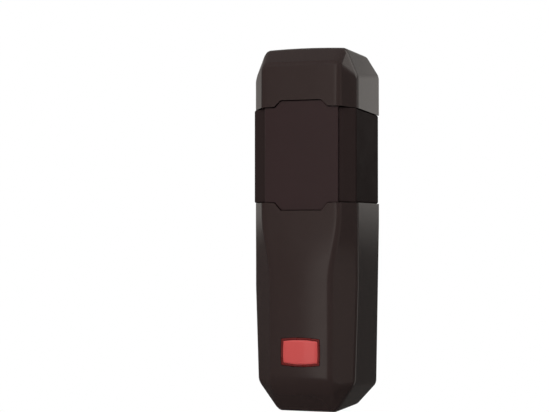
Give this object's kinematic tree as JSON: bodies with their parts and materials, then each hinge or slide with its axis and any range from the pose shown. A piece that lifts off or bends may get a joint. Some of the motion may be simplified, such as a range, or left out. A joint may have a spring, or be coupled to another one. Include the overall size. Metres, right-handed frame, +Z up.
{
  "type": "gate safety photocell",
  "caption": "Receiver photocell for gate safety with a swivelling lens head behind a dark window, screw-held covers and wall fixing.",
  "frame": {"origin": "centre of the rear face that lies on the wall", "axes": "+Y into the wall, +Z up, +X to the right seen from the front"},
  "size_m": [0.0386, 0.036, 0.13],
  "materials": {
    "cover_plastic": "near-black warm brown, moulded gloss",
    "window_plastic": "dark smoked infrared window",
    "filter_plastic": "dark smoked infrared filter",
    "badge_frame_plastic": "dark red",
    "badge_face_resin": "bright red, domed",
    "base_plastic": "dark grey, moulded",
    "bracket_plastic": "grey, moulded",
    "barrel_plastic": "black, fine texture",
    "seal_rubber": "black",
    "board_green": "green solder mask",
    "steel": "zinc plated",
    "clamp_metal": "nickel plated",
    "terminal_green": "green",
    "relay_blue": "blue",
    "can_sleeve": "dark blue sleeve",
    "varistor_coat": "ochre epoxy",
    "chip_black": "black epoxy",
    "smd_body": "dark ceramic",
    "led_red": "red clear",
    "header_black": "black",
    "jumper_red": "red",
    "connector_white": "off-white nylon",
    "lead_red": "red insulation",
    "washer_white": "white nylon",
    "lens_acrylic": "dark red clear acrylic"
  },
  "bodies": {
    "root": {"rear_base": "base_plastic", "base_seal": "seal_rubber", "cable_grommet": "seal_rubber", "main_board": "board_green", "board_screws": "steel", "terminal_block": "terminal_green", "terminal_clamps": "clamp_metal", "relay": "relay_blue", "filter_capacitor": "can_sleeve", "varistor": "varistor_coat", "bridge_rectifier": "chip_black", "controller_chip": "chip_black", "smd_parts": "smd_body", "status_led": "led_red", "jumper_header": "header_black", "lead_connector": "connector_white", "board_leads": "lead_red", "head_bracket": "bracket_plastic", "bracket_screws": "steel", "pan_washer": "washer_white", "pan_pin": "steel"},
    "swivel_head": {"swivel_yoke": "bracket_plastic", "pivot_clip": "steel", "head_leads": "lead_red"},
    "barrel": {"lens_barrel": "barrel_plastic", "lens_ring": "barrel_plastic", "focus_lens": "lens_acrylic", "sensor_board": "board_green", "photodiode": "chip_black", "tilt_pins": "steel"},
    "front_cover": {"upper_cap": "cover_plastic", "optic_window": "window_plastic", "filter_panel": "filter_plastic", "lower_cover": "cover_plastic", "screw_seal": "seal_rubber"},
    "badge": {"badge_frame": "badge_frame_plastic", "badge_face": "badge_face_resin"},
    "cover_screw": {"cover_screw": "steel"},
    "jumper": {"jumper_link": "jumper_red"},
    "terminal_1": {"terminal_screw_1": "steel"},
    "terminal_2": {"terminal_screw_2": "steel"},
    "terminal_3": {"terminal_screw_3": "steel"},
    "terminal_4": {"terminal_screw_4": "steel"},
    "terminal_5": {"terminal_screw_5": "steel"}
  },
  "joints": [
    {"name": "cover_off", "type": "slide", "parent": "root", "child": "front_cover", "axis": [0, -1, 0], "range_m": [0, 0.06]},
    {"name": "badge_off", "type": "slide", "parent": "front_cover", "child": "badge", "axis": [0, -1, 0], "range_m": [0, 0.008]},
    {"name": "cover_screw_turn", "type": "hinge", "parent": "front_cover", "child": "cover_screw", "pos_m": [0, -0.018, -0.0436], "axis": [0, -1, 0], "continuous": true},
    {"name": "head_pan", "type": "hinge", "parent": "root", "child": "swivel_head", "pos_m": [0, -0.0165, 0.0265], "axis": [0, 0, 1], "range_deg": [-90, 90]},
    {"name": "head_tilt", "type": "hinge", "parent": "swivel_head", "child": "barrel", "pos_m": [0, -0.0165, 0.0265], "axis": [1, 0, 0], "range_deg": [-15, 15], "deforming": ["head_leads"]},
    {"name": "jumper_pull", "type": "slide", "parent": "root", "child": "jumper", "axis": [0, -1, 0], "range_m": [0, 0.006]},
    {"name": "terminal_turn_1", "type": "hinge", "parent": "root", "child": "terminal_1", "pos_m": [-0.01, -0.0145, -0.02165], "axis": [0, -1, 0], "continuous": true},
    {"name": "terminal_turn_2", "type": "hinge", "parent": "root", "child": "terminal_2", "pos_m": [-0.005, -0.0145, -0.02165], "axis": [0, -1, 0], "continuous": true},
    {"name": "terminal_turn_3", "type": "hinge", "parent": "root", "child": "terminal_3", "pos_m": [0, -0.0145, -0.02165], "axis": [0, -1, 0], "continuous": true},
    {"name": "terminal_turn_4", "type": "hinge", "parent": "root", "child": "terminal_4", "pos_m": [0.005, -0.0145, -0.02165], "axis": [0, -1, 0], "continuous": true},
    {"name": "terminal_turn_5", "type": "hinge", "parent": "root", "child": "terminal_5", "pos_m": [0.01, -0.0145, -0.02165], "axis": [0, -1, 0], "continuous": true}
  ]
}
